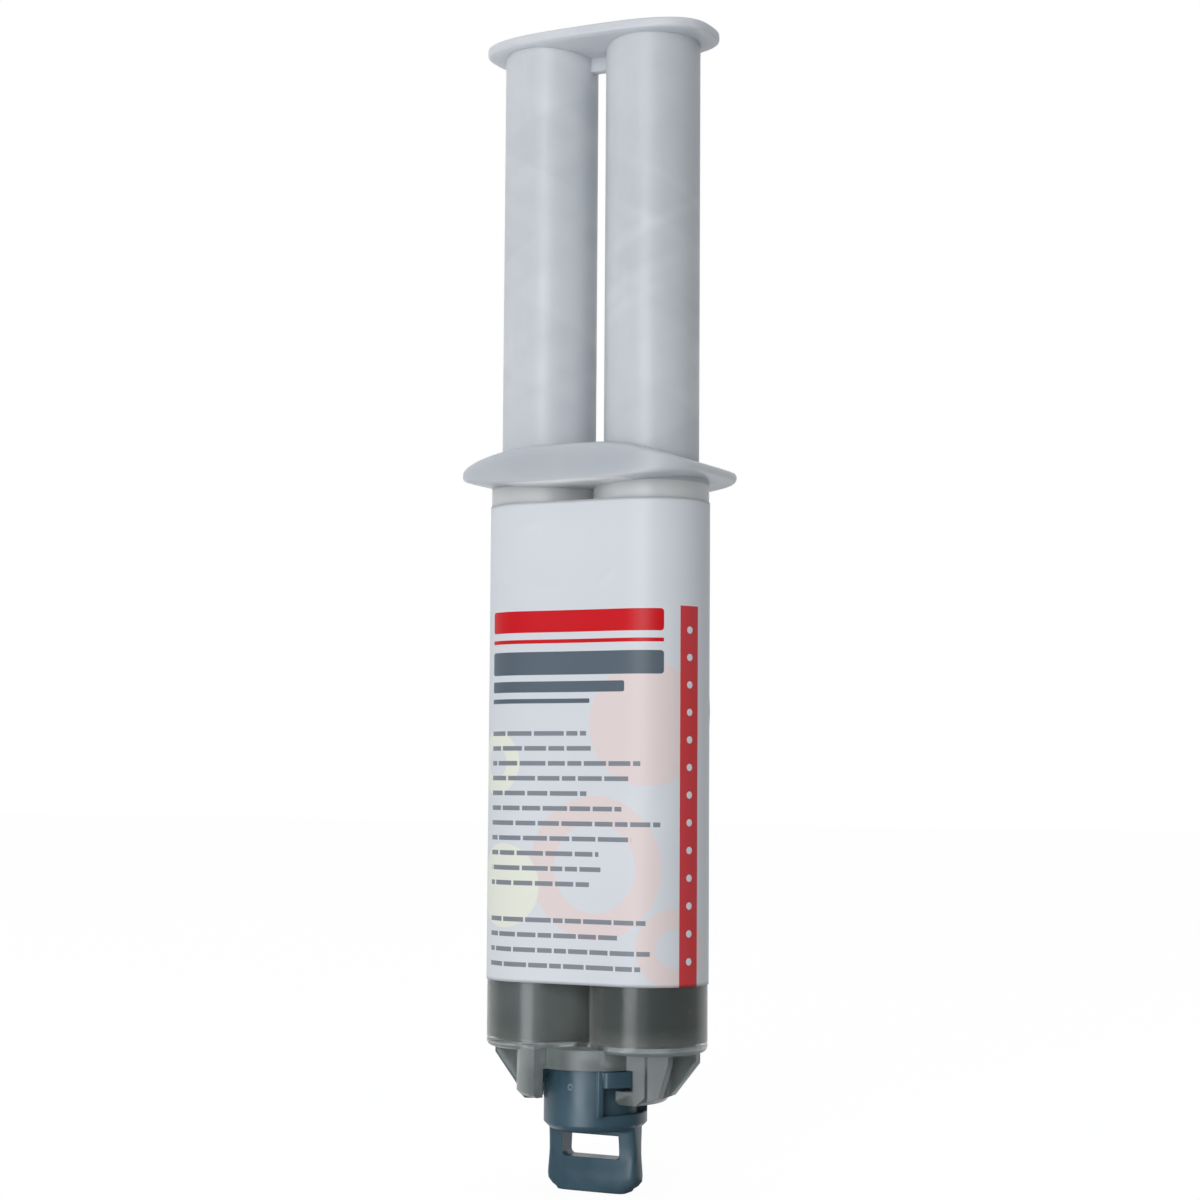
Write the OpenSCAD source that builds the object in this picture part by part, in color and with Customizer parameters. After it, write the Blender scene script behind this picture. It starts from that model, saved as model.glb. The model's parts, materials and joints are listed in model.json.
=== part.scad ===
// Two-part adhesive syringe: two barrels in one moulding, a twin plunger and a turn-lock cap.
// Millimetres, +Z up. The origin is the middle of the cap tab's foot, under the common axis.
// X runs from the hardener side to the resin side, and -Y is the front of the label.

/* [Barrels] */
// Inside radius of each barrel
bore_r = 8.0; // [7.5:0.1:8.5]
// Wall of each barrel
barrel_wall = 1.1; // [0.9:0.1:1.5]
// Depth to which the two barrels run into each other
barrel_overlap = 0.1; // [0.1:0.05:0.3]
// Length of barrel above the pistons of a full syringe, up to the finger flange
guide_h = 16.6; // [4:0.1:30]
// Thickness of the flat bottom inside
floor_h = 1.2; // [0.8:0.1:2]
// Rounding of the bottom's outer edge
bottom_round = 1.0; // [0.4:0.1:1.1]
// Widening of the mouth where the piston goes in
mouth_chamfer = 0.5; // [0.2:0.1:0.8]

/* [Finger flange] */
// Reach of the flange's wings past the barrels, along X
wing_reach = 2.4; // [1.5:0.1:8]
// Reach of the flange past the barrels, along Y
flange_lip = 4.1; // [1:0.1:6]
// Thickness of the wings at their tips
wing_h = 1.3; // [1.2:0.1:3]
// Height by which the wings' undersides rise towards their tips
tip_lift = 1.6; // [0:0.1:2]
// Height by which the flange's front and back edges rise in the middle
crown_rise = 3.1; // [1:0.1:5]
// Further rise from those edges to the flange's middle
dome_rise = 1.1; // [0:0.1:3]
// Depth by which the flange's long sides are cut straight
flange_flat = 0.3; // [0:0.1:0.6]
// Rounding of the flange's edges
flange_round = 0.6; // [0.4:0.1:0.6]

/* [Plunger] */
// Room round each plunger tube in its bore
tube_gap = 0.5; // [0.2:0.1:1.5]
// Wall of each plunger tube
tube_wall = 1.2; // [0.8:0.1:1.8]
// Travel of the plunger from full to empty
stroke = 60; // [50:1:62]
// Height of the web that ties the tubes under the thumb plate
web_h = 3.4; // [2.5:0.1:6]
// Thickness of that web
web_t = 1.6; // [1:0.1:3]
// Room left over the flange when the plunger is home
web_clear = 0.8; // [0.5:0.1:3]
// Thickness of the thumb plate at its rim
plate_h = 1.6; // [1.2:0.1:2.5]
// Reach of the thumb plate past the tubes, along X
plate_reach_l = 2.8; // [1:0.1:6]
// Reach of the thumb plate past the tubes, along Y
plate_reach_d = 1.65; // [0.5:0.05:5]
// Depth by which the thumb plate thickens towards its middle
plate_belly = 1.2; // [0.2:0.1:1.5]

/* [Pistons] */
// Height of each piston under its plunger tube
piston_h = 9.0; // [8:0.5:12]
// Height of the spigot that plugs into the tube
spigot_h = 4.6; // [3:0.1:8]
// Width of the sealing lips
lip_h = 1.3; // [0.8:0.1:1.6]
// Depth of the piston's waist between its lips
waist_depth = 0.35; // [0.2:0.05:0.6]
// Thickness of the seal ring's cord
ring_cord = 1.6; // [1.2:0.1:1.8]
// Wall of the hollow spigot
spigot_wall = 1.3; // [1:0.1:2]

/* [Nose] */
// Thickness of the collar under the barrels
collar_h = 2.5; // [2:0.1:4]
// Room between the collar and the bayonet walls
collar_gap = 0.8; // [0.4:0.1:2]
// Thickness of the bayonet walls
hook_wall = 1.8; // [1.4:0.1:2.4]
// Distance from the middle plane to the flat front end of a bayonet wall
hook_front = 5.5; // [4.5:0.1:6]
// Turn at which a bayonet wall ends at the back
hook_back_deg = 66; // [50:1:75]
// Thickness of the feet
foot_h = 2.1; // [1.6:0.1:2.6]
// Turn at which a foot ends at the back
foot_back_deg = 27; // [20:1:27]
// Thickness of the ribs outside the bayonet walls
rib_t = 1.7; // [1.2:0.1:2.4]
// Distance of the middle rib's outer edge from the barrel's outer side
mid_rib_inset = 0.75; // [0.5:0.05:3]
// Distance of the front rib's outer edge from the barrel's outer side
front_rib_inset = 1.4; // [1.2:0.1:3]
// Upright part of the ribs' outer edges
rib_step = 1.4; // [0.5:0.1:2]
// Radius of each outlet
outlet_r = 1.3; // [1:0.05:1.6]
// Wall of the outlet nozzles
nozzle_wall = 0.9; // [0.6:0.1:1]
// Length of the outlet nozzles below the collar
nozzle_h = 4.0; // [2:0.1:4.2]

/* [Cap] */
// Radius of the cap's body
cap_r = 8.05; // [7.8:0.05:8.1]
// Height of the cap's body
cap_h = 9.4; // [9.4:0.1:12]
// Wall left between the cap's inside and its relieved flanks
relief_wall = 1.15; // [0.9:0.05:1.3]
// Thickness of the cap's floor
cap_floor = 2.1; // [1.2:0.1:2.4]
// Height of the plain band round the cap's foot
band_h = 2.5; // [1.5:0.1:3]
// Bevel of the cap's lower edge
cap_bevel = 0.9; // [0.3:0.1:1]
// Reach of the two bayonet lugs past the cap's body
lug_reach = 2.25; // [1.5:0.05:3]
// Thickness of the bayonet lugs
lug_h = 2.4; // [1.8:0.1:2.4]
// Turn at which a lug ends, at the back; it starts over the relieved flank
lug_back_deg = 47; // [40:1:48]
// Turn that the stop rib in front of each relieved flank covers
stop_deg = 6; // [4:1:6]
// Reach of the stop ribs past the cap's body
stop_reach = 1.0; // [0.5:0.1:1.5]
// Depth of the relieved flanks under the lugs
relief_depth = 1.3; // [0.5:0.05:1.4]
// Turn at which a relieved flank starts, in front
relief_front_deg = 56; // [53:1:56]
// Turn at which a relieved flank ends, at the back
relief_back_deg = 22; // [0:1:26]

/* [Tab] */
// Height of the grip tab
tab_h = 9.8; // [8:0.1:16]
// Width of the tab under the cap
tab_top_w = 14.8; // [12:0.1:15]
// Width of the tab near its foot
tab_foot_w = 15.2; // [12:0.1:16]
// Thickness of the tab at its waist
tab_waist_t = 3.4; // [2:0.1:4]
// Thickness of the tab's thickened foot and root
tab_lip_t = 4.5; // [3:0.1:5]
// Width of the slot through the tab
slot_w = 9.9; // [7:0.1:10]
// Height of the slot through the tab
slot_h = 3.6; // [2:0.1:4]
// Bevel of the tab's lower corners
tab_bevel = 1.6; // [0.8:0.1:2]

/* [Label] */
// Thickness of the label's film
label_t = 0.15; // [0.1:0.05:0.3]
// Distance of the label's top from the finger flange
label_gap = 2.3; // [1:0.1:10]
// Height of the clear window under the label
window_h = 10.4; // [8:0.1:14]

/* [Fits] */
// Radial clearance of the pistons in their bores
slide_fit = 0.03; // [0.02:0.01:0.08]
// Clearance between pieces that lie in each other
seat_fit = 0.05; // [0.04:0.01:0.1]
// Clearance between the collar, the cap and the plug
turn_fit = 0.1; // [0.08:0.01:0.15]
// Gap that the pistons keep from the barrel floor
end_gap = 0.4; // [0.3:0.1:1]
// Room between the cap's lugs and the bayonet walls round them
lug_gap = 0.2; // [0.1:0.05:0.5]
// Room between the cap's body and the feet beside it
foot_gap = 0.15; // [0.1:0.05:0.4]
// Room between the outlet nozzles and the cap's inside
nozzle_gap = 0.2; // [0.15:0.05:0.5]

/* [Hidden] */
$fn = 96;
overrun = 1;
SIDES = [1, -1];

barrel_r = bore_r + barrel_wall;
barrel_x = barrel_r - barrel_overlap / 2;
barrel_h = floor_h + end_gap + stroke + piston_h + guide_h;
piston_r = bore_r - slide_fit;
tube_r = bore_r - tube_gap;
flange_half_l = barrel_x + barrel_r + wing_reach;
flange_half_d = barrel_r + flange_lip;
plate_half_l = barrel_x + tube_r + plate_reach_l;
plate_half_d = tube_r + plate_reach_d;
label_h = barrel_h - window_h - label_gap;

cap_z = tab_h;
cap_top = cap_z + cap_h;
collar_z = cap_top + turn_fit;
barrel_z = collar_z + collar_h;
bore_z = barrel_z + floor_h;
flange_z = barrel_z + barrel_h;
flange_top = flange_z + tip_lift + wing_h + crown_rise + dome_rise;
web_z = flange_top + web_clear + stroke;
plate_z = web_z + web_h;
plate_top = plate_z + plate_h;
piston_z = bore_z + end_gap + stroke;
tube_z = piston_z + piston_h;

lug_r = cap_r + lug_reach;
relief_r = cap_r - relief_depth;
cap_bore_r = relief_r - relief_wall;
foot_in_r = cap_r + foot_gap;
hook_in_r = lug_r + lug_gap;
hook_out_r = hook_in_r + hook_wall;
// Turn at which the plan of a bayonet hook starts, in front of its flat end
hook_start_deg = -60;
collar_r = hook_in_r - collar_gap;
lug_z = cap_top - lug_h;
// Play under the lugs, and the height of the feet that follows from it
foot_play = 0.65;
foot_top = lug_z - foot_play;
foot_z = foot_top - foot_h;
mid_rib_reach = barrel_x + barrel_r - mid_rib_inset;
front_rib_reach = barrel_x + sqrt(pow(barrel_r, 2) - pow(hook_front, 2)) - front_rib_inset;
nozzle_r = outlet_r + nozzle_wall;
outlet_x = cap_bore_r - nozzle_gap - nozzle_r;
nozzle_z = collar_z - nozzle_h;
plug_r = cap_bore_r - turn_fit;
plug_z = cap_z + cap_floor + turn_fit;
plug_top = nozzle_z - turn_fit;
// Snap bead that keeps the plug in the cap
bead_rise = 0.2;
bead_h = 1.0;
// Rounding of the feet's lower inner edge, and bevel of their outer one
foot_round = 0.85;
foot_bevel = 1.3;
// Height by which a bayonet wall ends above its foot, and the bevel of its lower edge
wall_lift = 0.9;
wall_bevel = 0.6;
// Place of the ribs' lower corners outside the bayonet walls
rib_foot_out = 1.0;

// Squareness of the oval outlines: 2 is an ellipse, and more is squarer
flange_oval_share = 4.5;
plate_oval_share = 2.94;
oval_points = 88;

// Point of an oval outline at turn t, for half sizes a and d
function oval_point(a, d, power, t) = [
    a * sign(cos(t)) * pow(abs(cos(t)), 2 / power),
    d * sign(sin(t)) * pow(abs(sin(t)), 2 / power)];

// Point of the flange's outline at turn t, drawn in by inset: an oval with its long sides cut straight
function flange_point(inset, t) =
    let (
        limit = flange_half_d - inset,
        p = oval_point(flange_half_l - inset, limit + flange_flat, flange_oval_share, t))
    [p.x, max(-limit, min(limit, p.y))];

// Share of the rise that the flange's top keeps at distance u from the middle
crown_start_share = 0.18;
crown_end_share = 0.97;
function crown_share(u) =
    let (t = (u / flange_half_l - crown_start_share) / (crown_end_share - crown_start_share))
    cos(90 * min(1, max(0, t)));
// Height of the flange's top at x, on the oval that is this share of the flange's outline
function flange_top_at(x, share) = flange_z + tip_lift + wing_h
    + (crown_rise + dome_rise * (1 - share * share)) * crown_share(abs(x));
function flange_low_at(x) = flange_z + tip_lift * pow(x / flange_half_l, 2);

// Closed body through rings of equally many points, with a tip at each end
module ringed(rings, low_tip, high_tip) {
    n = len(rings[0]);
    m = len(rings);
    points = concat([low_tip], [for (ring = rings) each ring], [high_tip]);
    low_fan = [for (i = [0:n - 1]) [0, 1 + i, 1 + (i + 1) % n]];
    sides = [for (k = [0:m - 2], i = [0:n - 1])
        let (a = 1 + k * n + i, b = 1 + k * n + (i + 1) % n)
        each [[a, a + n, b], [b, a + n, b + n]]];
    last = 1 + (m - 1) * n;
    high_fan = [for (i = [0:n - 1]) [len(points) - 1, last + (i + 1) % n, last + i]];
    polyhedron(points, concat(low_fan, sides, high_fan));
}

module each_side() {
    for (side = SIDES) translate([side * barrel_x, 0, 0]) children();
}

// Both bayonet halves are the same, half a turn apart
module each_half_turn() {
    for (turn = [0, 180]) rotate(turn) children();
}

// Plan of a sector from turn a to turn b, under half a turn, large enough to cut the nose
module sector(a, b) {
    reach = 2 * flange_half_l;
    middle = (a + b) / 2;
    polygon([[0, 0], [reach * cos(a), reach * sin(a)], [reach * cos(middle), reach * sin(middle)],
        [reach * cos(b), reach * sin(b)]]);
}

// Barrel, nose and finger flange: one moulding

// Half section of one barrel, from its rounded lower edge up into the flange's wings
module barrel_outline() {
    height = barrel_h + tip_lift + wing_h / 2;
    square([barrel_r - bottom_round, height]);
    translate([0, bottom_round]) square([barrel_r, height - bottom_round]);
    intersection() {
        translate([barrel_r - bottom_round, bottom_round]) circle(bottom_round);
        square([barrel_r, height]);
    }
}

// Ovals between the flange's edge and its middle
flange_ring_shares = [0.93, 0.86, 0.78, 0.68, 0.54, 0.36];
module finger_flange() {
    // Ring on the rounded edge: turn 0 is half way up it, and 90 is on the top or the underside
    function edge_ring(turn, side) = [for (i = [0:oval_points - 1])
        let (
            inset = flange_round * (1 - cos(turn)),
            drop = flange_round * (1 - sin(turn)),
            p = flange_point(inset, 360 * i / oval_points))
        [p.x, p.y, side > 0 ? flange_top_at(p.x, 1) - drop : flange_low_at(p.x) + drop]];
    function inner_ring(share, side) = [for (i = [0:oval_points - 1])
        let (p = share * flange_point(0, 360 * i / oval_points))
        [p.x, p.y, side > 0 ? flange_top_at(p.x, share) : flange_low_at(p.x)]];
    count = len(flange_ring_shares);
    under = [for (i = [count - 1:-1:0]) inner_ring(flange_ring_shares[i], -1)];
    low_edge = [for (turn = [90:-22.5:0]) edge_ring(turn, -1)];
    top_edge = [for (turn = [0:22.5:90]) edge_ring(turn, 1)];
    tops = [for (share = flange_ring_shares) inner_ring(share, 1)];
    ringed(concat(under, low_edge, top_edge, tops), [0, 0, flange_z], [0, 0, flange_top]);
}

// Bayonet wall with its foot: half section round the common axis
module hook_wall_section() {
    top = barrel_z + bottom_round;
    low = foot_z + wall_lift;
    polygon([[hook_in_r, low], [hook_out_r - wall_bevel, low], [hook_out_r, low + wall_bevel],
        [hook_out_r, top], [hook_in_r, top]]);
}

module foot_section() {
    polygon([[foot_in_r + foot_round, foot_z], [hook_out_r - foot_bevel, foot_z],
        [hook_out_r, foot_z + foot_bevel], [hook_out_r, foot_top], [foot_in_r, foot_top],
        [foot_in_r, foot_z + foot_round], [foot_in_r + foot_round, foot_z + foot_round]]);
    translate([foot_in_r + foot_round, foot_z + foot_round]) circle(foot_round);
}

// Plan that a hook keeps: behind its flat front end and up to its last turn
module hook_plan(back_deg) {
    intersection() {
        sector(hook_start_deg, back_deg);
        translate([0, -hook_front]) square([hook_out_r, 2 * hook_out_r]);
    }
}

module bayonet_hook() {
    intersection() {
        rotate_extrude() hook_wall_section();
        translate([0, 0, foot_z]) linear_extrude(barrel_z + bottom_round - foot_z) hook_plan(hook_back_deg);
    }
    intersection() {
        rotate_extrude() foot_section();
        translate([0, 0, foot_z]) linear_extrude(foot_h) hook_plan(foot_back_deg);
    }
    intersection() {
        translate([0, 0, collar_z]) cylinder(h = collar_h + bottom_round, r = hook_out_r);
        translate([0, 0, collar_z]) linear_extrude(collar_h + bottom_round) hook_plan(hook_back_deg);
    }
}

// Rib in the XZ plane from the bayonet wall out to reach, slanting in to the wall's foot
module rib(reach) {
    inner = hook_in_r + hook_wall / 2;
    top = barrel_z + bottom_round;
    rotate([90, 0, 0]) linear_extrude(rib_t)
        polygon([[inner, foot_z + foot_bevel / 2], [hook_out_r - foot_bevel / 2, foot_z + foot_bevel / 2],
            [hook_out_r + rib_foot_out, foot_z + foot_bevel], [reach, barrel_z - rib_step],
            [reach, top], [inner, top]]);
}

module nose() {
    translate([0, 0, collar_z]) cylinder(h = collar_h + floor_h / 2, r = collar_r);
    // The narrow space between the two rounded bottoms is filled up to where the barrels meet
    translate([0, 0, collar_z]) cylinder(h = collar_h + bottom_round, r = collar_r / 2);
    each_half_turn() {
        bayonet_hook();
        translate([0, rib_t / 2, 0]) rib(mid_rib_reach);
        translate([0, rib_t - hook_front + seat_fit, 0]) rib(front_rib_reach);
    }
    for (side = SIDES)
        translate([side * outlet_x, 0, nozzle_z]) cylinder(h = nozzle_h + collar_h, r = nozzle_r);
}

module twin_barrel() {
    color([0.80, 0.83, 0.86, 0.55]) difference() {
        union() {
            each_side() translate([0, 0, barrel_z]) rotate_extrude() barrel_outline();
            finger_flange();
            nose();
        }
        each_side() {
            translate([0, 0, bore_z]) cylinder(h = flange_top - bore_z + overrun, r = bore_r);
            translate([0, 0, flange_top - mouth_chamfer])
                cylinder(h = mouth_chamfer + overrun, r1 = bore_r, r2 = bore_r + mouth_chamfer + overrun);
        }
        for (side = SIDES)
            translate([side * outlet_x, 0, nozzle_z - overrun])
                cylinder(h = bore_z - nozzle_z + 2 * overrun, r = outlet_r);
    }
}

// Plunger: one moulding, two tubes on a thumb plate

// Rounding of the thumb plate's rim, and the belly rings under it
plate_round = 0.45;
plate_ring_shares = [0.35, 0.6, 0.8, 0.92];
module thumb_plate() {
    function ring(inset, z) = [for (i = [0:oval_points - 1])
        let (p = oval_point(plate_half_l - inset, plate_half_d - inset, plate_oval_share, 360 * i / oval_points))
        [p.x, p.y, z]];
    function belly_ring(share) = [for (i = [0:oval_points - 1])
        let (p = share * oval_point(plate_half_l, plate_half_d, plate_oval_share, 360 * i / oval_points))
        [p.x, p.y, plate_z - plate_belly * (1 - share * share)]];
    belly = [for (share = plate_ring_shares) belly_ring(share)];
    low = [for (a = [75:-25:0]) ring(plate_round * (1 - cos(a)), plate_z + plate_round * (1 - sin(a)))];
    high = [for (a = [0:22.5:90]) ring(plate_round * (1 - cos(a)), plate_top - plate_round * (1 - sin(a)))];
    ringed(concat(belly, low, high), [0, 0, plate_z - plate_belly], [0, 0, plate_top]);
}

module twin_plunger() {
    web_w = 2 * (barrel_x - tube_r + tube_wall / 2);
    color([0.86, 0.88, 0.91]) {
        difference() {
            union() {
                thumb_plate();
                each_side() translate([0, 0, tube_z]) cylinder(h = plate_z + plate_h / 2 - tube_z, r = tube_r);
                translate([-web_w / 2, -web_t / 2, web_z]) cube([web_w, web_t, web_h + plate_h / 2]);
            }
            each_side() translate([0, 0, tube_z - overrun])
                cylinder(h = plate_z - plate_belly - tube_z + overrun, r = tube_r - tube_wall);
        }
    }
}

// Pistons, seal rings and contents

groove_r = piston_r - ring_cord - seat_fit;
groove_h = ring_cord + 2 * seat_fit;
groove_z = (piston_h - groove_h) / 2;
module piston_section() {
    spigot_r = tube_r - tube_wall - seat_fit;
    waist_r = piston_r - waist_depth;
    difference() {
        union() {
            square([waist_r, piston_h]);
            square([piston_r, lip_h]);
            translate([0, piston_h - lip_h]) square([piston_r, lip_h]);
            translate([0, groove_z - lip_h]) square([piston_r, groove_h + 2 * lip_h]);
            square([spigot_r, piston_h + spigot_h]);
        }
        translate([groove_r, groove_z]) square([ring_cord + waist_depth, groove_h]);
        translate([0, piston_h]) square([spigot_r - spigot_wall, spigot_h + overrun]);
    }
}

module piston(side) {
    translate([side * barrel_x, 0, piston_z]) rotate_extrude() piston_section();
}

module resin_piston() {
    color([0.93, 0.94, 0.95]) piston(1);
}

module hardener_piston() {
    color([0.93, 0.94, 0.95]) piston(-1);
}

module seal_ring(side) {
    translate([side * barrel_x, 0, piston_z + groove_z + groove_h / 2])
        rotate_extrude() translate([piston_r - ring_cord / 2, 0]) circle(ring_cord / 2);
}

module resin_seal_ring() {
    color([0.12, 0.12, 0.13]) seal_ring(1);
}

module hardener_seal_ring() {
    color([0.12, 0.12, 0.13]) seal_ring(-1);
}

// Each charge fills its bore from the floor up to the piston's face
module charge(side) {
    translate([side * barrel_x, 0, bore_z + seat_fit])
        cylinder(h = piston_z - bore_z - 2 * seat_fit, r = bore_r - slide_fit);
}

module resin_charge() {
    color([0.30, 0.36, 0.36, 0.8]) charge(1);
}

module hardener_charge() {
    color([0.40, 0.45, 0.46, 0.8]) charge(-1);
}

// Label: one film drawn flat over both barrels and glued round their outer sides

module label_plan(r) {
    for (side = SIDES) translate([side * barrel_x, 0]) circle(r);
    square([2 * barrel_x, 2 * r], center = true);
}

module wrap_label() {
    inner_r = barrel_r + seat_fit;
    color([0.93, 0.94, 0.96]) translate([0, 0, barrel_z + window_h]) linear_extrude(label_h) difference() {
        label_plan(inner_r + label_t);
        label_plan(inner_r);
    }
}

// Cap: bayonet body with two lugs, over a flat grip tab

module cap_section() {
    difference() {
        union() {
            translate([0, cap_bevel]) square([cap_r, cap_h - cap_bevel]);
            polygon([[0, 0], [cap_r - cap_bevel, 0], [cap_r, cap_bevel], [0, cap_bevel]]);
        }
        translate([0, cap_floor]) square([cap_bore_r, cap_h]);
        translate([0, plug_bead_z - turn_fit]) square([plug_r + bead_rise + turn_fit, bead_h + 2 * turn_fit]);
    }
}
plug_bead_z = plug_z - cap_z + (plug_top - plug_z - bead_h) / 2;

module cap_relief() {
    relief_z = cap_z + band_h;
    translate([0, 0, relief_z]) linear_extrude(lug_z - relief_z) difference() {
        sector(-relief_front_deg, relief_back_deg);
        circle(relief_r);
    }
}

module cap_lug() {
    translate([0, 0, lug_z]) linear_extrude(lug_h) difference() {
        intersection() {
            circle(lug_r);
            sector(-relief_front_deg, lug_back_deg);
        }
        circle(relief_r);
    }
}

// Rib that meets the other hook's foot when the cap is turned open
module cap_stop() {
    translate([0, 0, cap_z + band_h]) linear_extrude(cap_h - band_h) difference() {
        intersection() {
            circle(cap_r + stop_reach);
            sector(-relief_front_deg - stop_deg, -relief_front_deg);
        }
        circle(relief_r);
    }
}

// Small notch in the cap's upper edge, beside the end of each lug
notch_deg = 6;
notch_h = 1.1;
module edge_notch() {
    translate([0, 0, cap_top - notch_h]) linear_extrude(notch_h + overrun) difference() {
        sector(lug_back_deg, lug_back_deg + notch_deg);
        circle(cap_bore_r + (cap_r - cap_bore_r) / 4);
    }
}

// Rings of the tab from its foot up: share of the height, half width and half thickness there.
// It is thick at its foot and root, and draws in to a waist between them.
tab_oval_share = 6;
tab_ring_shares = [0, 0.05, 0.12, 0.2, 0.28, 0.36, 0.45, 0.55, 0.7, 0.85, 0.95, 1];
tab_wide_share = 0.16;
tab_waist_share = 0.55;
function tab_half_w(share) =
    share < tab_wide_share
    ? tab_foot_w / 2 - tab_bevel * pow(1 - share / tab_wide_share, 2)
    : tab_foot_w / 2 + (tab_top_w - tab_foot_w) / 2 * (share - tab_wide_share) / (1 - tab_wide_share);
function tab_half_t(share) =
    let (
        low_share = min(1, max(0, share - tab_wide_share) / (tab_waist_share - tab_wide_share)),
        high_share = max(0, share - tab_waist_share) / (1 - tab_waist_share),
        low = (1 - cos(180 * low_share)) / 2,
        high = (1 - cos(180 * high_share)) / 2)
    tab_lip_t / 2 - (tab_lip_t - tab_waist_t) / 2 * (low - high);
// Rounded lower corners of the slot, and its distance from the tab's root
slot_round = 0.7;
slot_drop = 1.0;
slot_z = tab_h - slot_h - slot_drop;
tab_root_h = tab_h + cap_floor / 2;
// Rounding of the tab's foot
tab_foot_round = 0.4;
tab_points = 40;
module tab_slot() {
    translate([-slot_w / 2, slot_round]) square([slot_w, slot_h - slot_round]);
    translate([slot_round - slot_w / 2, 0]) square([slot_w - 2 * slot_round, slot_h]);
    for (side = SIDES) translate([side * (slot_w / 2 - slot_round), slot_round]) circle(slot_round);
}

module tab() {
    function ring(share, inset, z) =
        let (w = tab_half_w(share) - inset, t = tab_half_t(share) - inset)
        [for (i = [0:tab_points - 1])
            let (p = oval_point(w, t, tab_oval_share, 360 * i / tab_points))
            [p.x, p.y, z]];
    body = [for (share = tab_ring_shares)
        ring(share, 0, tab_foot_round + share * (tab_root_h - tab_foot_round))];
    foot = [for (a = [90:-30:30])
        ring(0, tab_foot_round * (1 - cos(a)), tab_foot_round * (1 - sin(a)))];
    difference() {
        ringed(concat(foot, body), [0, 0, 0], [0, 0, tab_root_h]);
        translate([0, tab_lip_t, slot_z]) rotate([90, 0, 0]) linear_extrude(2 * tab_lip_t) tab_slot();
    }
}

module turn_cap() {
    color([0.29, 0.37, 0.42]) {
        difference() {
            translate([0, 0, cap_z]) rotate_extrude() cap_section();
            each_half_turn() {
                cap_relief();
                edge_notch();
            }
        }
        each_half_turn() {
            cap_lug();
            cap_stop();
        }
        tab();
    }
}

// Plug: stays square to the outlets while the cap turns round it

module outlet_plug() {
    pin_r = outlet_r - slide_fit;
    color([0.22, 0.27, 0.31]) {
        translate([0, 0, plug_z]) cylinder(h = plug_top - plug_z, r = plug_r);
        translate([0, 0, cap_z + plug_bead_z]) cylinder(h = bead_h, r = plug_r + bead_rise);
        for (side = SIDES)
            translate([side * outlet_x, 0, plug_top - seat_fit]) cylinder(h = bore_z - plug_top, r = pin_r);
    }
}

twin_barrel();
twin_plunger();
resin_piston();
hardener_piston();
resin_seal_ring();
hardener_seal_ring();
resin_charge();
hardener_charge();
wrap_label();
turn_cap();
outlet_plug();
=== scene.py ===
import json
import math
import random

import bmesh
import bpy
from mathutils import Matrix, Vector


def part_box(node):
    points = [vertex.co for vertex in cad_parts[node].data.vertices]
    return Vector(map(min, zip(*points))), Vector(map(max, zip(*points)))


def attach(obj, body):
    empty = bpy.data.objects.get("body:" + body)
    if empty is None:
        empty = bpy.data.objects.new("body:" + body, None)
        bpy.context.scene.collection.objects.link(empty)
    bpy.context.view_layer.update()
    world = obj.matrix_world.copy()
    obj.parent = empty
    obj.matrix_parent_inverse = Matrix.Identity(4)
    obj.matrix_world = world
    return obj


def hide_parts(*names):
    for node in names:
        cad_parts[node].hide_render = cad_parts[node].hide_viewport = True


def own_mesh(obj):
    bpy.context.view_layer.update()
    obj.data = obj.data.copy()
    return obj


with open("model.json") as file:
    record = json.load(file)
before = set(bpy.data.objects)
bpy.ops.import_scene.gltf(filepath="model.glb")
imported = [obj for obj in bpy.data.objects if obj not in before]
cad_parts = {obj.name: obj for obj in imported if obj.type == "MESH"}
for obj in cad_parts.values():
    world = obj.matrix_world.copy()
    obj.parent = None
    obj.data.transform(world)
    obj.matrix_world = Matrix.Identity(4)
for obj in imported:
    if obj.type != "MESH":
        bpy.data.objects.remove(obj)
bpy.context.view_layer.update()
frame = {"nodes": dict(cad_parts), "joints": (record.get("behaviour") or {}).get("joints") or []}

# Twin barrel
# The two barrels, the finger flange, the nose and the bayonet hooks are one moulding in natural
# polypropylene: a milky, frosted plastic, clear enough to show the contents where it is thin.

MM = 0.001
# Radius that the light sees on sharp moulded edges
EDGE_ROUND = 0.25 * MM
# Corners of a round wall lie at most this far outside its radius, and their faces' normals point
# along the radius: the cosine between the two is above this
WALL_SLACK = 0.05 * MM
ROUND_ENOUGH = 0.99
# Corners closer than this are one, and faces that turn less than this are one flat face
JOIN_GAP = 0.002 * MM
FLAT_ANGLE = math.radians(0.3)


def srgb(red, green, blue):
    """Linear colour from the 0 to 255 levels that a screen shows."""
    levels = [c / 255 for c in (red, green, blue)]
    return tuple(c / 12.92 if c <= 0.04045 else ((c + 0.055) / 1.055) ** 2.4 for c in levels) + (1.0,)


def finish_material(name):
    """New material with its Principled shader: the nodes, the links and the shader."""
    material = bpy.data.materials.new(name)
    material.use_nodes = True
    tree = material.node_tree
    return material, tree.nodes, tree.links, tree.nodes["Principled BSDF"]


def maths(nodes, links, operation, first, second=0.0, third=0.0):
    """Math node on sockets or plain numbers, returning its result."""
    node = nodes.new("ShaderNodeMath")
    node.operation = operation
    for socket, value in zip(node.inputs, (first, second, third)):
        if isinstance(value, bpy.types.NodeSocket):
            links.new(value, socket)
        else:
            socket.default_value = value
    return node.outputs[0]


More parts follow.
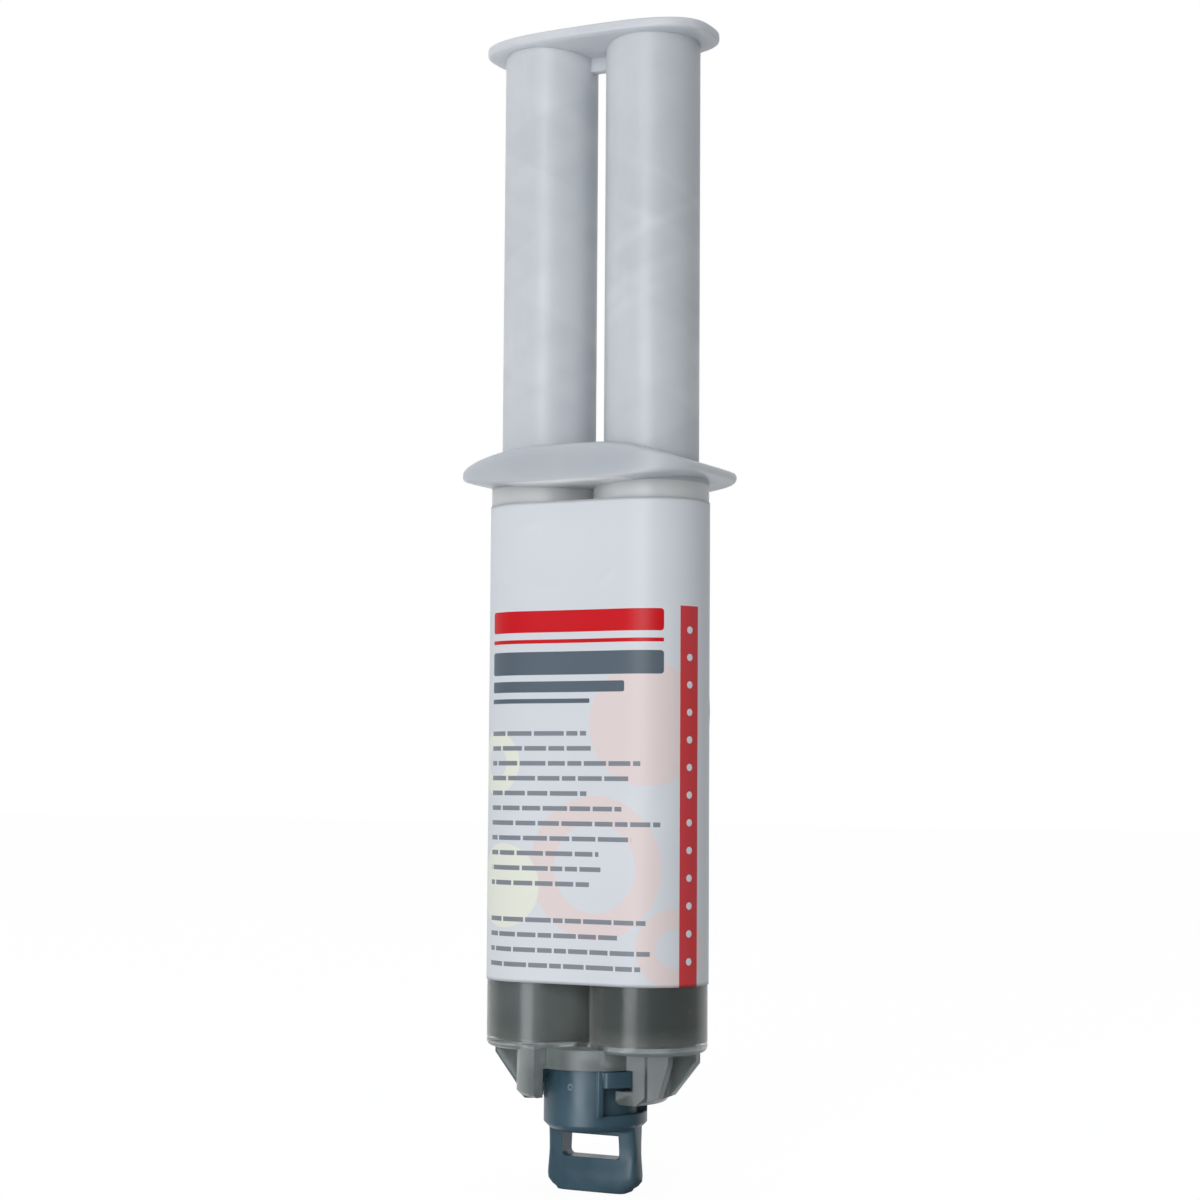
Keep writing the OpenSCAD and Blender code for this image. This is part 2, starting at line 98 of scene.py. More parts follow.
def blended(nodes, links, factor, low, high):
    """Colour between two colours or colour sockets."""
    mix = nodes.new("ShaderNodeMix")
    mix.data_type = "RGBA"
    for socket, value in zip((mix.inputs[0], mix.inputs[6], mix.inputs[7]), (factor, low, high)):
        if isinstance(value, bpy.types.NodeSocket):
            links.new(value, socket)
        else:
            socket.default_value = value
    return mix.outputs[2]


def spread(nodes, links, value, low, high, to_low=0.0, to_high=1.0):
    """Value stretched from one range to another with smooth ends."""
    node = nodes.new("ShaderNodeMapRange")
    node.interpolation_type = "SMOOTHSTEP"
    links.new(value, node.inputs[0])
    for socket, number in zip(list(node.inputs)[1:5], (low, high, to_low, to_high)):
        socket.default_value = number
    return node.outputs[0]


def new_group(name, inputs, outputs):
    """Empty shader node group with named sockets: the group, its inside nodes, links, in and out."""
    group = bpy.data.node_groups.new(name, "ShaderNodeTree")
    for socket_name, kind, default in inputs:
        socket = group.interface.new_socket(socket_name, in_out="INPUT", socket_type=kind)
        if default is not None:
            socket.default_value = default
    for socket_name, kind in outputs:
        group.interface.new_socket(socket_name, in_out="OUTPUT", socket_type=kind)
    inside = group.nodes.new("NodeGroupInput")
    outside = group.nodes.new("NodeGroupOutput")
    return group, group.nodes, group.links, inside.outputs, outside.inputs


# Moulded skin: the fine grain that a spark-eroded mould leaves, and the slow cloudy flow marks
skin_group, nodes, links, given, result = new_group(
    "moulded_skin",
    [("Position", "NodeSocketVector", None), ("Grain per Metre", "NodeSocketFloat", 2500.0),
     ("Cloud per Metre", "NodeSocketFloat", 60.0)],
    [("Height", "NodeSocketFloat"), ("Cloud", "NodeSocketFloat")])
grain = nodes.new("ShaderNodeTexNoise")
grain.inputs["Detail"].default_value = 2.0
links.new(given["Position"], grain.inputs["Vector"])
links.new(given["Grain per Metre"], grain.inputs["Scale"])
cloud = nodes.new("ShaderNodeTexNoise")
cloud.inputs["Detail"].default_value = 3.0
cloud.inputs["Distortion"].default_value = 0.6
links.new(given["Position"], cloud.inputs["Vector"])
links.new(given["Cloud per Metre"], cloud.inputs["Scale"])
links.new(grain.outputs["Fac"], result["Height"])
links.new(spread(nodes, links, cloud.outputs["Fac"], 0.3, 0.7), result["Cloud"])


def own_position(nodes):
    """Place of a shaded point on its own piece, in metres."""
    return nodes.new("ShaderNodeTexCoord").outputs["Object"]


def moulded_skin(nodes, links, shader, grain_per_metre, cloud_per_metre, depth):
    """Moulded skin on a material: rounded edges and grain on its shader. Returns the cloud mask."""
    skin = nodes.new("ShaderNodeGroup")
    skin.node_tree = skin_group
    links.new(own_position(nodes), skin.inputs["Position"])
    skin.inputs["Grain per Metre"].default_value = grain_per_metre
    skin.inputs["Cloud per Metre"].default_value = cloud_per_metre
    rounded = nodes.new("ShaderNodeBevel")
    rounded.samples = 4
    rounded.inputs["Radius"].default_value = EDGE_ROUND
    bump = nodes.new("ShaderNodeBump")
    bump.inputs["Strength"].default_value = 0.6
    bump.inputs["Distance"].default_value = depth
    links.new(rounded.outputs["Normal"], bump.inputs["Normal"])
    links.new(skin.outputs["Height"], bump.inputs["Height"])
    links.new(bump.outputs["Normal"], shader.inputs["Normal"])
    return skin.outputs["Cloud"]


def cloudy_colour(nodes, links, shader, cloud, first, second):
    """Base colour that drifts between two tones with the cloud mask."""
    links.new(blended(nodes, links, cloud, first, second), shader.inputs["Base Color"])


def closed_copy(node):
    """Mesh of a CAD node with its split corners joined and without the edges inside its flat faces."""
    mesh = bmesh.new()
    mesh.from_mesh(frame["nodes"][node].data)
    bmesh.ops.remove_doubles(mesh, verts=mesh.verts, dist=JOIN_GAP)
    bmesh.ops.dissolve_limit(mesh, angle_limit=FLAT_ANGLE, verts=mesh.verts, edges=mesh.edges)
    return mesh


def piece_from(name, mesh):
    """New object with a finished mesh."""
    data = bpy.data.meshes.new(name)
    mesh.to_mesh(data)
    mesh.free()
    piece = bpy.data.objects.new(name, data)
    bpy.context.scene.collection.objects.link(piece)
    return piece


def smooth_shade(piece, angle=32):
    """Smooth shading that keeps the piece's sharp edges."""
    for face in piece.data.polygons:
        face.use_smooth = True
    piece.data.set_sharp_from_angle(angle=math.radians(angle))


def true_round(piece, axis_x, radius, low):
    """Exact normals on the round walls above low: away from the axis, or towards it in a bore."""
    data = piece.data
    normals = [corner.vector.copy() for corner in data.corner_normals]
    for face in data.polygons:
        for corner in face.loop_indices:
            place = data.vertices[data.loops[corner].vertex_index].co
            away = Vector((place.x - math.copysign(axis_x, face.center.x), place.y, 0))
            facing = face.normal.dot(away.normalized())
            if place.z > low and away.length < radius + WALL_SLACK and abs(facing) > ROUND_ENOUGH:
                normals[corner] = away.normalized() * math.copysign(1, facing)
    data.normals_split_custom_set(normals)


# Heights that part the hooks, the thin walls, the neck under the flange and the flange itself, and
# the barrels' axes and outer radius
WALL_LOW = 22.4 * MM
CUTS = (WALL_LOW, 104.5 * MM, 109.4 * MM)
BARREL_X = (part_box("resin_piston")[0].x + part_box("resin_piston")[1].x) / 2
BARREL_R = 9.1 * MM
mesh = closed_copy("twin_barrel")
for cut in CUTS:
    bmesh.ops.bisect_plane(mesh, geom=mesh.verts[:] + mesh.edges[:] + mesh.faces[:],
                           plane_co=(0, 0, cut), plane_no=(0, 0, 1))
for face in mesh.faces:
    middle = face.calc_center_median().z
    face.material_index = sum(middle > cut for cut in CUTS)
barrel = piece_from("barrel_moulding", mesh)
smooth_shade(barrel)
true_round(barrel, BARREL_X, BARREL_R, WALL_LOW)

# The same plastic at four thicknesses from the nose up, hazy in the hooks, clear in the walls, milky
# in the neck and the flange: pale and deep colour, clearness, roughness range, refraction, milk, bloom
THICKNESSES = {
    "hooks": (srgb(150, 159, 160), srgb(138, 148, 148), 0.62, (0.28, 0.36), 1.42, 0.0, 0.15),
    "wall": (srgb(222, 228, 228), srgb(206, 213, 212), 0.93, (0.17, 0.24), 1.40, 0.0, 0.5),
    # The neck is paler than the flange: painted light in the shade under the flange
    "neck": (srgb(233, 235, 235), srgb(222, 225, 226), 0.05, (0.30, 0.40), 1.45, 0.9, 0.0),
    "flange": (srgb(208, 213, 218), srgb(194, 199, 206), 0.12, (0.30, 0.40), 1.45, 0.85, 0.0),
}
for part, (pale, deep, clearness, finish, bending, milk, bloom) in THICKNESSES.items():
    material, nodes, links, shader = finish_material("natural_polypropylene_" + part)
    cloud = moulded_skin(nodes, links, shader, 1500.0, 45.0, 0.012 * MM)
    cloudy_colour(nodes, links, shader, cloud, pale, deep)
    links.new(spread(nodes, links, cloud, 0.0, 1.0, *finish), shader.inputs["Roughness"])
    shader.inputs["Transmission Weight"].default_value = clearness
    shader.inputs["IOR"].default_value = bending
    shader.inputs["Subsurface Weight"].default_value = milk
    shader.inputs["Subsurface Radius"].default_value = (1.0, 0.97, 0.94)
    shader.inputs["Subsurface Scale"].default_value = 4 * MM
    shader.inputs["Sheen Weight"].default_value = bloom
    shader.inputs["Sheen Roughness"].default_value = 0.5
    shader.inputs["Sheen Tint"].default_value = srgb(214, 214, 204)
    barrel.data.materials.append(material)
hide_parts("twin_barrel")
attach(barrel, "barrels")

# Resin and hardener
# Two thick liquids, poured in at the factory up to the pistons. They stick to the bores and hold a few
# air bubbles near the wall.

# Deep and pale colour of each liquid, its paler colour near the web between the barrels, which is painted
# light from the web, how much light it lets through, and how many bubbles it holds
CHARGES = {
    "resin": (srgb(18, 36, 34), srgb(32, 48, 44), srgb(40, 56, 52), 0.06, 16),
    "hardener": (srgb(80, 90, 92), srgb(100, 108, 108), srgb(156, 160, 156), 0.4, 9),
}
FLOOR_Z = frame["joints"][0]["deforming_nodes"][0]["fixed_end_z_m"]
# The paler tone at the bores' floors, and the heights over which it fades out
AT_FLOOR = srgb(118, 122, 116)
FLOOR_BAND = (FLOOR_Z - 1 * MM, FLOOR_Z + 3.2 * MM)
# Distances from the middle over which the web's light fades
WEB_BAND = (0.5 * MM, 5.5 * MM)
LIQUID_SIDES = 96
# Roundness of the liquids' rims, which cling to the wall
MENISCUS = 0.35 * MM
# How far a liquid reaches into the wall, so that no film of air lies between the two
WETTED = 0.06 * MM
# Bubbles: radii, highest place, turns in degrees on the side that shows, and their share of a radius
# inside the liquid
BUBBLE_R = (0.08 * MM, 0.2 * MM)
BUBBLE_TOP = 34 * MM
BUBBLE_TURNS = (-150, 30)
BUBBLE_SINK = 0.85


def lathe(name, outline, centre, sides):
    """Closed mesh from an outline of (radius, z) pairs turned round a vertical axis at centre.

    The outline starts and ends on the axis, or where it started.
    """
    mesh = bmesh.new()
    rings = []
    for radius, z in outline:
        turns = [2 * math.pi * k / sides for k in range(sides if radius else 1)]
        rings.append([mesh.verts.new((centre[0] + radius * math.cos(turn),
                                      centre[1] + radius * math.sin(turn), z)) for turn in turns])
    for low, high in zip(rings, rings[1:]):
        for k in range(sides):
            corners = [low[k % len(low)], low[(k + 1) % len(low)],
                       high[(k + 1) % len(high)], high[k % len(high)]]
            mesh.faces.new(list(dict.fromkeys(corners)))
    bmesh.ops.remove_doubles(mesh, verts=mesh.verts, dist=JOIN_GAP)
    bmesh.ops.recalc_face_normals(mesh, faces=mesh.faces)
    return piece_from(name, mesh)


def wet_material(name, deep, pale, painted_web_light, clearness):
    """Thick liquid behind a wall: slow clouds between two greys, paler at the bore's floor, painted light
    at the web.
    """
    material, nodes, links, shader = finish_material(name)
    cloud = moulded_skin(nodes, links, shader, 300.0, 130.0, 0.03 * MM)
    place = nodes.new("ShaderNodeSeparateXYZ")
    links.new(own_position(nodes), place.inputs[0])
    at_floor = spread(nodes, links, place.outputs["Z"], *FLOOR_BAND, 1.0, 0.0)
    # Near the web between the barrels the liquid turns paler: painted light for the light that the web lets
    # in
    off_web = spread(nodes, links, maths(nodes, links, "ABSOLUTE", place.outputs["X"]), *WEB_BAND)
    clouded = blended(nodes, links, off_web, painted_web_light, blended(nodes, links, cloud, deep, pale))
    links.new(blended(nodes, links, at_floor, clouded, AT_FLOOR), shader.inputs["Base Color"])
    shader.inputs["Roughness"].default_value = 0.5
    shader.inputs["Specular IOR Level"].default_value = 0.1
    shader.inputs["Transmission Weight"].default_value = clearness
    return material


def bubble_mesh(name, centre, radius, count):
    """Small round bubbles that lie in a liquid's surface, where they show through the wall."""
    dice = random.Random(name)
    mesh = bmesh.new()
    for _ in range(count):
        turn = math.radians(dice.uniform(*BUBBLE_TURNS))
        size = dice.uniform(*BUBBLE_R)
        away = radius - size * BUBBLE_SINK
        place = (centre[0] + away * math.cos(turn), centre[1] + away * math.sin(turn),
                 dice.uniform(FLOOR_Z + 4 * size, BUBBLE_TOP))
        bmesh.ops.create_icosphere(mesh, subdivisions=2, radius=size, matrix=Matrix.Translation(place))
    return piece_from(name, mesh)


bubble_material, nodes, links, shader = finish_material("trapped_air")
cloud = moulded_skin(nodes, links, shader, 900.0, 900.0, 0.01 * MM)
cloudy_colour(nodes, links, shader, cloud, srgb(120, 132, 126), srgb(196, 204, 190))
shader.inputs["Roughness"].default_value = 0.2

for charge, (deep, pale, painted_web_light, clearness, bubble_count) in CHARGES.items():
    low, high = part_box(charge + "_charge")
    centre = ((low.x + high.x) / 2, (low.y + high.y) / 2)
    radius = (high.x - low.x) / 2 + WETTED
    outline = [(0, low.z), (radius - MENISCUS, low.z), (radius, low.z + MENISCUS)]
    outline += [(radius, low.z + share * (high.z - low.z)) for share in (0.1, 0.2, 0.4, 0.6, 0.8)]
    outline += [(radius, high.z - MENISCUS), (radius - MENISCUS, high.z), (0, high.z)]
    liquid = lathe(charge, outline, centre, LIQUID_SIDES)
    liquid.data.materials.append(wet_material(charge + "_liquid", deep, pale, painted_web_light, clearness))
    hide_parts(charge + "_charge")
    bubbles = bubble_mesh(charge + "_bubbles", centre, radius, bubble_count)
    bubbles.data.materials.append(bubble_material)
    for piece in (liquid, bubbles):
        smooth_shade(piece)
        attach(piece, "barrels")
        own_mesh(piece)

# Pistons and seal rings
# Each piston is a white polyethylene plug pressed into the end of its plunger tube. A black rubber
# ring in its groove rubs along the bore and keeps the liquid under it.


def dress(node, material):
    """Material of a CAD node that is shown as it is."""
    piece = frame["nodes"][node]
    piece.data.materials.clear()
    piece.data.materials.append(material)


material, nodes, links, shader = finish_material("white_polyethylene")
cloud = moulded_skin(nodes, links, shader, 1800.0, 90.0, 0.01 * MM)
cloudy_colour(nodes, links, shader, cloud, srgb(226, 229, 232), srgb(238, 240, 241))
shader.inputs["Roughness"].default_value = 0.42
shader.inputs["Subsurface Weight"].default_value = 0.12
shader.inputs["Subsurface Radius"].default_value = (1.0, 0.95, 0.9)
shader.inputs["Subsurface Scale"].default_value = 1.2 * MM
for node in ("resin_piston", "hardener_piston"):
    dress(node, material)

material, nodes, links, shader = finish_material("seal_rubber")
cloud = moulded_skin(nodes, links, shader, 3000.0, 300.0, 0.01 * MM)
cloudy_colour(nodes, links, shader, cloud, srgb(30, 30, 32), srgb(42, 42, 44))
links.new(spread(nodes, links, cloud, 0.0, 1.0, 0.5, 0.62), shader.inputs["Roughness"])
for node in ("resin_seal_ring", "hardener_seal_ring"):
    dress(node, material)

# Twin plunger
# Two tubes hang from the thumb plate, tied by a short web: one moulding in white polypropylene.
# The tubes show faint slanted flow streaks where the melt ran round the cores.

# Rise of the streaks in one turn round a tube, how many there are to a metre across and along them, and
# the noise levels between which a streak shows
STREAK_PITCH = 24 * MM
STREAKS_ACROSS, STREAKS_ALONG = 60.0, 8.0
STREAK_LEVELS = (0.47, 0.57)
material, nodes, links, shader = finish_material("white_polypropylene")
cloud = moulded_skin(nodes, links, shader, 2200.0, 70.0, 0.012 * MM)
place = nodes.new("ShaderNodeSeparateXYZ")
links.new(own_position(nodes), place.inputs[0])
side_of = maths(nodes, links, "SIGN", place.outputs["X"])
across = maths(nodes, links, "MULTIPLY_ADD", side_of, -BARREL_X, place.outputs["X"])
turn = maths(nodes, links, "ARCTAN2", place.outputs["Y"], across)
# The streaks climb round each tube both ways, so that they cross
streak_mask = 0.0
for hand in (-1, 1):
    rise = hand * STREAK_PITCH / (2 * math.pi)
    climb = maths(nodes, links, "MULTIPLY_ADD", turn, rise, place.outputs["Z"])
    helix = nodes.new("ShaderNodeCombineXYZ")
    links.new(maths(nodes, links, "MULTIPLY", climb, STREAKS_ACROSS), helix.inputs["X"])
    links.new(maths(nodes, links, "MULTIPLY", place.outputs["Z"], STREAKS_ALONG), helix.inputs["Y"])
    links.new(side_of, helix.inputs["Z"])
    streak = nodes.new("ShaderNodeTexNoise")
    streak.inputs["Scale"].default_value = 1.6
    streak.inputs["Detail"].default_value = 2.0
    links.new(helix.outputs[0], streak.inputs["Vector"])
    one_way = spread(nodes, links, streak.outputs["Fac"], *STREAK_LEVELS)
    streak_mask = maths(nodes, links, "MULTIPLY_ADD", one_way, 0.5, streak_mask)
base = blended(nodes, links, streak_mask, srgb(199, 204, 210), srgb(213, 217, 222))
links.new(blended(nodes, links, cloud, base, srgb(206, 211, 217)), shader.inputs["Base Color"])
links.new(spread(nodes, links, streak_mask, 0.0, 1.0, 0.42, 0.36), shader.inputs["Roughness"])
shader.inputs["Subsurface Weight"].default_value = 0.7
shader.inputs["Subsurface Radius"].default_value = (1.0, 0.95, 0.92)
shader.inputs["Subsurface Scale"].default_value = 3 * MM
dress("twin_plunger", material)

# Wrap label
# A coated film label, stuck round both barrels and drawn flat across them, with its ends lapped at
# the back. It was put on by hand and has kept a few soft creases. Its print is plain blocks.

LABEL_LOW, LABEL_HIGH = (corner.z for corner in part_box("wrap_label"))
LABEL_FACE = -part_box("wrap_label")[0].y
LABEL_SIDE = -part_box("wrap_label")[0].x - LABEL_FACE
FILM = 0.09 * MM
WRAP_R = LABEL_FACE - 0.05 * MM
# Half the way round, from the front's middle to the back's
HALF_WRAP = 2 * LABEL_SIDE + math.pi * WRAP_R
# The lapped seam: its width, the run over which the upper end climbs onto the lower one, the gap
# between the two, and how far the lower end starts past the back's middle
LAP = 4 * MM
LAP_RAMP = 1.2 * MM
LAP_GAP = 0.03 * MM
SEAM_SHIFT = 0.2 * MM
# Depth of the sag between the barrels, and height of the film's slow ripple
SAG = 0.2 * MM
RIPPLE = 0.012 * MM
# Widest mesh steps round the label and up it
STEP_ROUND = 0.4 * MM
STEP_UP = 0.5 * MM
# Creases: both ends as (distance round from the front's middle, height), width and rise, in mm
CREASES = [
    ((-16.0, 101.6), (-5.0, 103.4), 1.0, 0.28), ((-15.5, 94.6), (-1.0, 93.2), 1.0, 0.24),
    ((4.0, 93.0), (7.5, 96.5), 0.7, 0.18), ((5.5, 38.4), (10.6, 32.6), 0.3, 0.12),
    ((-9.0, 88.0), (-4.0, 84.0), 0.8, 0.04), ((12.0, 60.0), (17.0, 66.0), 0.7, 0.04),
    ((24.0, 78.0), (31.0, 70.0), 0.8, 0.08), ((-24.0, 52.0), (-31.0, 60.0), 0.8, 0.08),
]


def wrap_point(along, lift):
    """Place (x, y) of the film at a distance round from the front's middle, at a lift off its wrap."""
    side = 1 if along >= 0 else -1
    run = abs(along)
    radius = WRAP_R + lift
    if run <= LABEL_SIDE:
        return along, -radius
    if run <= LABEL_SIDE + math.pi * WRAP_R:
        turn = (run - LABEL_SIDE) / WRAP_R
        return side * (LABEL_SIDE + radius * math.sin(turn)), -radius * math.cos(turn)
    return side * (HALF_WRAP - run), radius


def crease_lift(along, height):
    """Height of the creases at a place on the label: narrow ridges that fade out at both ends."""
    lift = 0.0
    for (a0, z0), (a1, z1), width, rise in CREASES:
        dx, dz = (a1 - a0) * MM, (z1 - z0) * MM
        length = math.hypot(dx, dz)
        x, z = along - a0 * MM, height - z0 * MM
        share = (x * dx + z * dz) / length ** 2
        if -0.3 < share < 1.3:
            off = (x * dz - z * dx) / length
            fade = max(0.0, 1 - (2 * share - 1) ** 4) if 0 <= share <= 1 else 0.0
            lift += rise * MM * fade * math.exp(-(off / (width * MM)) ** 2)
    return lift


def label_lift(along, height):
    """Lift of the film off its wrap: creases, the sag between the barrels, the lap and the ripple."""
    lift = crease_lift(along, height)
    if abs(along) < LABEL_SIDE:
        lift -= SAG * (1 - (along / LABEL_SIDE) ** 2) ** 2
    lap_from = HALF_WRAP - LAP_RAMP
    if along > lap_from:
        lift += (FILM + LAP_GAP) * min(1.0, (along - lap_from) / LAP_RAMP)
    lift += RIPPLE * math.sin(along * 210 + height * 95) * math.sin(height * 160 - along * 60)
    return lift


rows = int((LABEL_HIGH - LABEL_LOW) / STEP_UP)
columns = int((2 * HALF_WRAP + LAP) / STEP_ROUND)
mesh = bmesh.new()
print_map = mesh.loops.layers.uv.new("print_mm")
grid = []
for i in range(columns + 1):
    along = -HALF_WRAP + SEAM_SHIFT + i * (2 * HALF_WRAP + LAP) / columns
    column = []
    for j in range(rows + 1):
        height = LABEL_LOW + j * (LABEL_HIGH - LABEL_LOW) / rows
        x, y = wrap_point(along, label_lift(along, height))
        column.append((mesh.verts.new((x, y, height)), (along / MM, height / MM)))
    grid.append(column)
for i in range(columns):
    for j in range(rows):
        corners = [grid[i][j], grid[i + 1][j], grid[i + 1][j + 1], grid[i][j + 1]]
        face = mesh.faces.new([vertex for vertex, printed_at in corners])
        face.smooth = True
        for loop, (vertex, printed_at) in zip(face.loops, corners):
            loop[print_map].uv = printed_at
label = piece_from("label", mesh)
film = label.modifiers.new("film", "SOLIDIFY")
film.thickness = FILM
film.offset = -1
film.use_even_offset = True

# Half the width of the soft rim that ink has on paper, in mm
INK_RIM = 0.03

# A printed block: a rectangle with rounded corners on the print map, which is in mm
block_group, nodes, links, given, result = new_group(
    "printed_block",
    [("Place", "NodeSocketVector", None), ("Middle Across", "NodeSocketFloat", 0.0),
     ("Middle Up", "NodeSocketFloat", 0.0), ("Half Width", "NodeSocketFloat", 1.0),
     ("Half Height", "NodeSocketFloat", 1.0), ("Corner", "NodeSocketFloat", 0.1)],
    [("Mask", "NodeSocketFloat")])
split = nodes.new("ShaderNodeSeparateXYZ")
links.new(given["Place"], split.inputs[0])
reach = []
for axis, middle, half in (("X", "Middle Across", "Half Width"), ("Y", "Middle Up", "Half Height")):
    offset = maths(nodes, links, "SUBTRACT", split.outputs[axis], given[middle])
    away = maths(nodes, links, "ABSOLUTE", offset)
    inner = maths(nodes, links, "SUBTRACT", given[half], given["Corner"])
    reach.append(maths(nodes, links, "MAXIMUM", maths(nodes, links, "SUBTRACT", away, inner), 0.0))
squares = [maths(nodes, links, "MULTIPLY", past, past) for past in reach]
distance = maths(nodes, links, "SQRT", maths(nodes, links, "ADD", *squares))
past_corner = maths(nodes, links, "SUBTRACT", distance, given["Corner"])
links.new(spread(nodes, links, past_corner, -INK_RIM, INK_RIM, 1.0, 0.0), result["Mask"])

# A printed disc, or a ring when its inner radius is above zero
disc_group, nodes, links, given, result = new_group(
    "printed_disc",
    [("Place", "NodeSocketVector", None), ("Middle Across", "NodeSocketFloat", 0.0),
     ("Middle Up", "NodeSocketFloat", 0.0), ("Radius", "NodeSocketFloat", 1.0),
     ("Inner Radius", "NodeSocketFloat", 0.0)],
    [("Mask", "NodeSocketFloat")])
split = nodes.new("ShaderNodeSeparateXYZ")
links.new(given["Place"], split.inputs[0])
offsets = [maths(nodes, links, "SUBTRACT", split.outputs[axis], given[middle])
           for axis, middle in (("X", "Middle Across"), ("Y", "Middle Up"))]
squares = [maths(nodes, links, "MULTIPLY", offset, offset) for offset in offsets]
distance = maths(nodes, links, "SQRT", maths(nodes, links, "ADD", *squares))
past_rim = maths(nodes, links, "SUBTRACT", distance, given["Radius"])
past_hole = maths(nodes, links, "SUBTRACT", distance, given["Inner Radius"])
links.new(maths(nodes, links, "MULTIPLY", spread(nodes, links, past_rim, -INK_RIM, INK_RIM, 1.0, 0.0),
                spread(nodes, links, past_hole, -INK_RIM, INK_RIM)), result["Mask"])

# A block of small print: rows of short dashes whose lengths and row ends come from noise. Each row
# takes its own stretch of the noise, and the gap is half the space between two dashes, in dashes
ROW_SHIFT = 17.3
DASH_GAP = 0.05
rows_group, nodes, links, given, result = new_group(
    "printed_rows",
    [("Place", "NodeSocketVector", None), ("Left", "NodeSocketFloat", 0.0), ("Top", "NodeSocketFloat", 0.0),
     ("Rows", "NodeSocketFloat", 5.0), ("Row Step", "NodeSocketFloat", 2.0),
     ("Ink Share", "NodeSocketFloat", 0.4), ("Shortest", "NodeSocketFloat", 10.0),
     ("Longest", "NodeSocketFloat", 20.0), ("Dash Length", "NodeSocketFloat", 3.0)],
    [("Mask", "NodeSocketFloat")])
split = nodes.new("ShaderNodeSeparateXYZ")
links.new(given["Place"], split.inputs[0])
down = maths(nodes, links, "DIVIDE", maths(nodes, links, "SUBTRACT", given["Top"], split.outputs["Y"]),
             given["Row Step"])
row = maths(nodes, links, "FLOOR", down)
in_ink = maths(nodes, links, "LESS_THAN", maths(nodes, links, "FRACT", down), given["Ink Share"])
in_rows = maths(nodes, links, "MULTIPLY", maths(nodes, links, "GREATER_THAN", down, 0.0),
                maths(nodes, links, "LESS_THAN", down, given["Rows"]))
across = maths(nodes, links, "SUBTRACT", split.outputs["X"], given["Left"])
chance = nodes.new("ShaderNodeTexWhiteNoise")
chance.noise_dimensions = "1D"
links.new(maths(nodes, links, "ADD", row, given["Top"]), chance.inputs["W"])
row_end = maths(nodes, links, "MULTIPLY_ADD", chance.outputs["Value"],
                maths(nodes, links, "SUBTRACT", given["Longest"], given["Shortest"]), given["Shortest"])
in_length = maths(nodes, links, "MULTIPLY", maths(nodes, links, "GREATER_THAN", across, 0.0),
                  maths(nodes, links, "LESS_THAN", across, row_end))
dashes = nodes.new("ShaderNodeTexVoronoi")
dashes.voronoi_dimensions = "1D"
dashes.feature = "DISTANCE_TO_EDGE"
dashes.inputs["Scale"].default_value = 1.0
in_dashes = maths(nodes, links, "DIVIDE", across, given["Dash Length"])
links.new(maths(nodes, links, "MULTIPLY_ADD", row, ROW_SHIFT, in_dashes), dashes.inputs["W"])
in_dash = maths(nodes, links, "GREATER_THAN", dashes.outputs["Distance"], DASH_GAP)
printed = maths(nodes, links, "MULTIPLY", maths(nodes, links, "MULTIPLY", in_ink, in_rows),
                maths(nodes, links, "MULTIPLY", in_length, in_dash))
links.new(printed, result["Mask"])

PAPER = srgb(219, 223, 229)
PALE_RED = srgb(228, 214, 214)
PALE_YELLOW = srgb(231, 234, 222)
PRINT_RED = srgb(204, 6, 22)
PRINT_SLATE = srgb(88, 101, 112)
PRINT_GREY = srgb(130, 136, 145)
# Pale discs and rings behind the blocks: middle across and up, outer and inner radius, in mm
PALE_DISCS = [(12.5, 72.0, 9.5, 0.0, PALE_RED), (4.0, 50.0, 11.0, 7.0, PALE_RED),
              (-12.0, 47.0, 6.5, 0.0, PALE_YELLOW), (17.0, 38.0, 6.0, 3.0, PALE_RED),
              (-14.0, 66.0, 5.0, 2.6, PALE_YELLOW)]
# Blocks: left, low, right and high edge and corner radius, in mm, and colour
BLOCKS = [(-15.2, 86.2, 15.2, 89.6, 0.5, PRINT_RED), (-15.2, 84.5, 15.2, 85.1, 0.1, PRINT_RED),
          (-15.2, 79.6, 15.2, 83.2, 0.5, PRINT_SLATE), (-15.2, 76.9, 9.0, 78.6, 0.3, PRINT_SLATE),
          (-15.2, 75.2, 3.0, 75.9, 0.1, PRINT_SLATE), (17.9, 32.0, 21.5, 90.1, 0.02, PRINT_RED)]
# White dots down the red stripe, as small discs
STRIPE_DOTS = [(19.7, 36.0 + 4.2 * k, 0.55, 0.0, PAPER) for k in range(13)]
# Rows of small print: left, top, rows, row step, ink's share of a step, shortest and longest row, and
# dash length, with lengths in mm
PRINT_ROWS = [(-15.2, 70.9, 11, 2.31, 0.31, 17.0, 31.0, 4.2), (-15.2, 42.2, 4, 2.31, 0.31, 21.0, 34.0, 3.6)]

material, nodes, links, shader = finish_material("label_film")
cloud = moulded_skin(nodes, links, shader, 4000.0, 25.0, 0.004 * MM)
print_place = nodes.new("ShaderNodeUVMap")
print_place.uv_map = "print_mm"


def stamp(group, colour, ink, **values):
    """Colour with a printed shape of one ink laid over it."""
    shape = nodes.new("ShaderNodeGroup")
    shape.node_tree = group
    links.new(print_place.outputs[0], shape.inputs["Place"])
    for name, value in values.items():
        shape.inputs[name.replace("_", " ")].default_value = value
    return blended(nodes, links, shape.outputs[0], colour, ink)


def stamp_disc(colour, disc):
    """Colour with a disc or ring laid over it. Holes come out 0.1 mm smaller, so that 0 means none."""
    across, up, radius, inner, ink = disc
    return stamp(disc_group, colour, ink, Middle_Across=across, Middle_Up=up,
                 Radius=radius, Inner_Radius=inner - 0.1)


